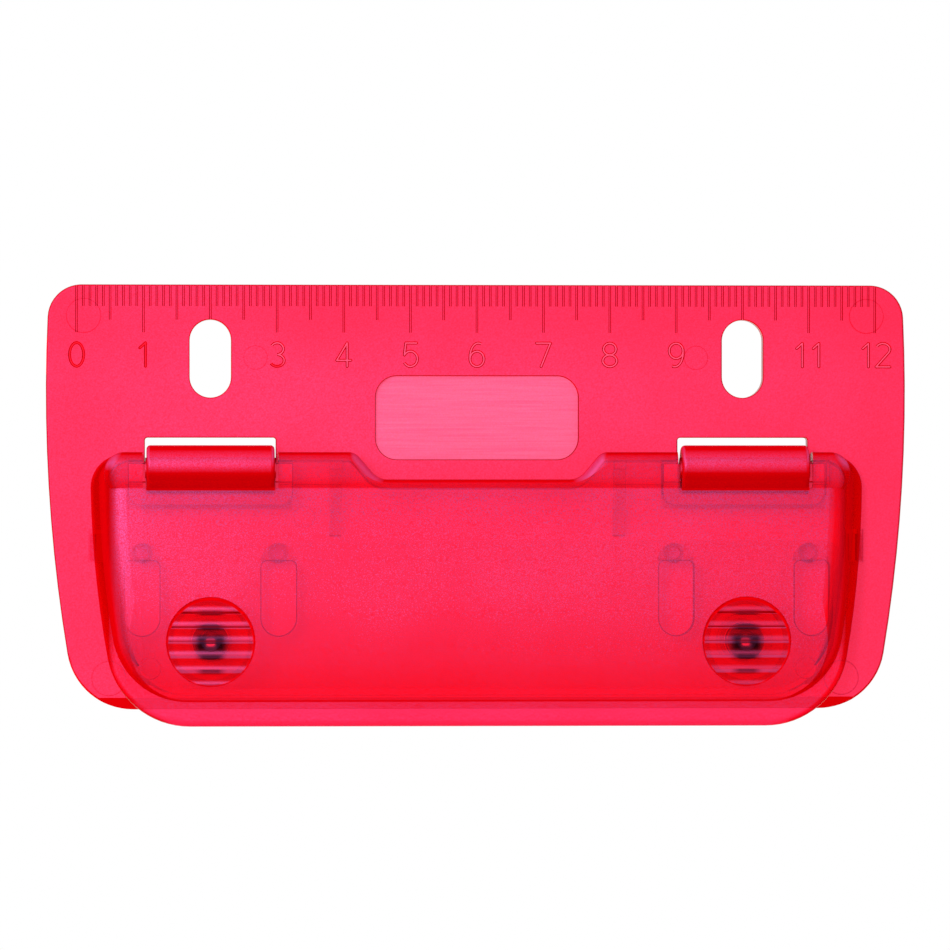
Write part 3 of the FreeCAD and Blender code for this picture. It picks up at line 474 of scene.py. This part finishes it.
def inside_roof(tree):
    """1 on the inner side of the lever's roof, which slopes and then curves down to the lip, 0 on top."""
    x, y, z = place_on_object(tree)
    plane = calculated(tree, "MULTIPLY_ADD", y, -ROOF_SLOPE, ROOF_HEIGHT)
    ahead = calculated(tree, "MAXIMUM", calculated(tree, "SUBTRACT", NOSE_START, y), 0)
    drop = calculated(tree, "DIVIDE", calculated(tree, "POWER", ahead, 2), 2 * NOSE_RADIUS)
    depth = calculated(tree, "SUBTRACT", calculated(tree, "SUBTRACT", plane, drop), z)
    return product(tree, between(tree, depth, ROOF_SKIN, ROOF_SKIN + EDGE_BLUR), region(tree, *ROOF))


def corner_highlights(tree):
    """1 on the bead's rounded corners, which face up, to the rear and to a side, where a highlight is painted
    as more haze, 0 elsewhere.
    """
    sideways = calculated(tree, "ABSOLUTE", facing(tree, "X"))
    turned = [between(tree, way, *CORNER_SLOPES) for way in (sideways, facing(tree, "Y"), facing(tree, "Z"))]
    return product(tree, *turned, opposite(tree, below(tree, CORNER_FLOOR)))


def speckled_tint(tree, tint):
    """A tint with fine dark violet specks, most of them at the rear of the lever."""
    specks = between(tree, noise(tree, SPECK_SIZE, SPECK_DETAIL), *SPECK_SPAN)
    strength = between(tree, region(tree, *SPECKLED), 0, 1, *SPECK_STRENGTHS)
    return mixed(tree, product(tree, specks, strength), tint, SPECK_TINT)


def deep_shade_places(tree):
    """1 where deep shade is painted: on the lever's side flanges and under its barrels, 0 elsewhere."""
    x, y, z = place_on_object(tree)
    under_barrel = product(tree, region(tree, *BARREL), between(tree, y, *BARREL_SHADE, 1, 0))
    return calculated(tree, "MAXIMUM", region(tree, *LEVER_FLANGE), under_barrel)


def lever_tints(tree, steep, deep_shade, front, shaded):
    """The tint of the lever's body, and of the light that comes through it, with painted shade on slopes
    turned away from the light, on steep walls, on the flanges and under the barrels.
    """
    turned = calculated(tree, "MAXIMUM", front, shaded)
    body = speckled_tint(tree, BODY_TINT)
    clear = mixed(tree, turned, speckled_tint(tree, LEVER_TINT), TURNED_AWAY_SHADE_TINT)
    return [mixed(tree, steep, mixed(tree, deep_shade, tint, DEEP_SHADE_TINT), WALL_SHADE_TINT) for tint in (body, clear)]


def lever_haze(tree, steep, inner, deep_shade, front, shaded):
    x, y, z = place_on_object(tree)
    fade = between(tree, y, *FADE, FADED_HAZE, 1)
    # painted shade as less haze on front-facing and shaded slopes, painted highlight as more haze on the
    # barrels and the bead's corners
    haze = product(tree, grain(tree, *LEVER_GRAIN), clouds(tree), fade, *opposites(tree, steep, inner, deep_shade),
                   where(tree, front, FRONT_SHADE_HAZE), where(tree, shaded, SHADED_HAZE),
                   where(tree, region(tree, *BEAD), BEAD_HAZE),
                   where(tree, region(tree, *BARREL), BARREL_HIGHLIGHT_HAZE))
    return calculated(tree, "MAXIMUM", haze, product(tree, corner_highlights(tree), CORNER_HIGHLIGHT_HAZE))


def lever_plastic():
    material, tree = new_material("lever_plastic")
    x, y, z = place_on_object(tree)
    # painted shade on the lever's steep walls, weaker at the lip
    steep = product(tree, walls(tree), where(tree, region(tree, *LIP), LIP_STEEPNESS))
    # front-facing slopes of the lever, where shade is painted
    front = product(tree, front_facing(tree), between(tree, y, LIP_FROM, LIP_FROM + EDGE_BLUR))
    shaded = between(tree, facing(tree, "X"), *SHADED_SLOPES)
    deep_shade = deep_shade_places(tree)
    inner = inside_roof(tree)
    clear = product(tree, between(tree, inner, 0, 1, *LEVER_CLEAR), where(tree, front, FRONT_CLEAR),
                    where(tree, steep, LEVER_WALL_CLEAR), where(tree, region(tree, *BARREL), BARREL_CLEAR))
    finish_plastic(tree, lever_tints(tree, steep, deep_shade, front, shaded), clear,
                   lever_haze(tree, steep, inner, deep_shade, front, shaded))
    return material


def pad_rim(tree):
    """1 on the rim of a press pad, 0 inside it."""
    x, y, z = place_on_object(tree)
    across = calculated(tree, "SUBTRACT", calculated(tree, "ABSOLUTE", x), PAD_PLACE[0])
    along = calculated(tree, "SUBTRACT", y, PAD_PLACE[1])
    squares = [calculated(tree, "POWER", part, 2) for part in (across, along)]
    return between(tree, calculated(tree, "SQRT", calculated(tree, "ADD", *squares)), *PAD_RIM)


def punch_in_pad(tree, tilt):
    """1 where the steel punch is painted as seen through a press pad: a ring round its pin, and smears on
    steep flutes that stand in for its refraction.
    """
    tilted = between(tree, calculated(tree, "ABSOLUTE", tilt), *PAD_SMEARS)
    crown = product(tree, region(tree, *PUNCH_SEEN), opposite(tree, region(tree, *PIN)))
    return calculated(tree, "MAXIMUM", crown, product(tree, region(tree, *PUNCH_SMEARS), tilted))


def pad_tints(tree, pale, shade_line, punch, rim):
    """The tint of a pad's body, and of the light that comes through it, with a painted highlight on the pale
    bands, painted shade on the dark lines and deep painted shade on the rim.
    """
    body = mixed(tree, shade_line, BODY_TINT, PAD_SHADE_TINT)
    clear = mixed(tree, shade_line, mixed(tree, pale, PAD_TINT, LEVER_TINT), PAD_SHADE_TINT)
    return [mixed(tree, rim, mixed(tree, punch, tint, PUNCH_SEEN_TINT), DEEP_SHADE_TINT) for tint in (body, clear)]


def pad_plastic():
    """Polished: each hollow flute has a red band, a painted highlight as a pale band, painted shade as a dark
    red line, and a painted glint.
    """
    material, tree = new_material("pad_plastic")
    tilt = facing(tree, "Y")
    # painted highlight on the pale band where a flute faces the rear, painted shade on the dark line, painted
    # glint
    pale = between(tree, tilt, *PAD_HIGHLIGHT_BANDS)
    shade_line = between(tree, tilt, *PAD_SHADE_LINES)
    glint = between(tree, tilt, *PAD_GLINTS)
    punch = punch_in_pad(tree, tilt)
    rim = pad_rim(tree)
    clear = product(tree, where(tree, shade_line, PAD_LINE_CLEAR, PAD_CLEAR), where(tree, rim, PAD_RIM_CLEAR))
    veil = calculated(tree, "MAXIMUM", between(tree, pale, 0, 1, *PAD_HIGHLIGHT_HAZES),
                      where(tree, glint, GLINT_HAZE, 0))
    haze = product(tree, veil, *opposites(tree, shade_line, rim), where(tree, punch, PUNCH_HAZE))
    finish_plastic(tree, pad_tints(tree, pale, shade_line, punch, rim), clear, haze, PAD_ROUGHNESS)
    return material


def steel(name):
    material, tree = new_material(name)
    output = add(tree, "ShaderNodeOutputMaterial")
    body = add(tree, "ShaderNodeBsdfPrincipled")
    body.inputs["Base Color"].default_value = STEEL_TINT
    body.inputs["Metallic"].default_value = 1.0
    body.inputs["Roughness"].default_value = STEEL_ROUGHNESS
    tree.links.new(body.outputs["BSDF"], output.inputs["Surface"])
    return material


def dress(node, material):
    mesh = nodes[node].data
    if not mesh.materials:
        mesh.materials.append(material)
    for index in range(len(mesh.materials)):
        mesh.materials[index] = material


def soft_finger(side):
    """A copy of a return finger that is attached to the lever, where the real one bends."""
    rigid = nodes["return_finger_" + side]
    finger = rigid.copy()
    finger.data = rigid.data.copy()
    finger.name = "soft_finger_" + side
    bpy.context.scene.collection.objects.link(finger)
    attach(finger, "lever")
    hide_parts("return_finger_" + side)
    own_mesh(finger)


def make_floor():
    """A matt floor that looks plain white to the camera, in mirrors and through the plastic."""
    bpy.ops.mesh.primitive_plane_add(size=FLOOR_SIZE, location=(0, 0, -FLOOR_DROP))
    floor = bpy.context.object
    floor.name = "floor"
    material, tree = new_material("floor_white")
    output = add(tree, "ShaderNodeOutputMaterial")
    matt = add(tree, "ShaderNodeBsdfDiffuse")
    matt.inputs["Color"].default_value = FLOOR_TINT
    glow = add(tree, "ShaderNodeEmission")
    glow.inputs["Strength"].default_value = FLOOR_GLOW
    path = add(tree, "ShaderNodeLightPath")
    seen = calculated(tree, "MAXIMUM", path.outputs["Is Camera Ray"], path.outputs["Is Glossy Ray"])
    seen = calculated(tree, "MAXIMUM", seen, path.outputs["Is Transmission Ray"])
    white = layered(tree, seen, matt.outputs["BSDF"], glow.outputs["Emission"])
    tree.links.new(white, output.inputs["Surface"])
    floor.data.materials.append(material)


def make_world():
    """White to the camera, dimmer as a light, and dimmer still in mirrors."""
    world = bpy.data.worlds.new("studio")
    bpy.context.scene.world = world
    world.use_nodes = True
    tree = world.node_tree
    tree.nodes.clear()

    def sky(strength):
        level = add(tree, "ShaderNodeBackground")
        level.inputs["Color"].default_value = WORLD_TINT
        level.inputs["Strength"].default_value = strength
        return level.outputs["Background"]

    output = add(tree, "ShaderNodeOutputWorld")
    path = add(tree, "ShaderNodeLightPath")
    dim = layered(tree, path.outputs["Is Glossy Ray"], sky(WORLD_LEVEL), sky(WORLD_MIRRORED))
    whole = layered(tree, path.outputs["Is Camera Ray"], dim, sky(WORLD_SEEN))
    tree.links.new(whole, output.inputs["Surface"])


def make_softbox():
    lamp = bpy.data.lights.new("softbox", "AREA")
    lamp.size = SOFTBOX_SIZE
    lamp.energy = SOFTBOX_POWER
    piece = bpy.data.objects.new("softbox", lamp)
    bpy.context.scene.collection.objects.link(piece)
    piece.location = SOFTBOX_PLACE
    piece.rotation_mode = "QUATERNION"
    piece.rotation_quaternion = (-Vector(SOFTBOX_PLACE)).to_track_quat("-Z", "Y")


def make_camera():
    data = bpy.data.cameras.new("camera")
    data.lens = CAMERA_LENS
    data.sensor_width = SENSOR
    data.clip_end = FLOOR_SIZE * 2
    camera = bpy.data.objects.new("camera", data)
    bpy.context.scene.collection.objects.link(camera)
    back = (Vector(CAMERA_PLACE) - Vector(CAMERA_AIM)).normalized()
    right = Vector((0, 1, 0)).cross(back).normalized()
    camera.location = CAMERA_PLACE
    camera.rotation_mode = "QUATERNION"
    camera.rotation_quaternion = Matrix((right, back.cross(right), back)).transposed().to_quaternion()
    bpy.context.scene.camera = camera


lever_red = lever_plastic()
pad_red = pad_plastic()
punch_steel = steel("punch_steel")
dress("base_plate", plate_plastic())
dress("guide_bridge", bridge_plastic())
dress("press_lever", lever_red)
for side in ("left", "right"):
    dress("press_pad_" + side, pad_red)
    dress("return_finger_" + side, lever_red)
    dress("punch_" + side, punch_steel)
    soft_finger(side)
make_floor()
make_world()
make_softbox()
make_camera()
bpy.context.scene.view_settings.view_transform = "Standard"
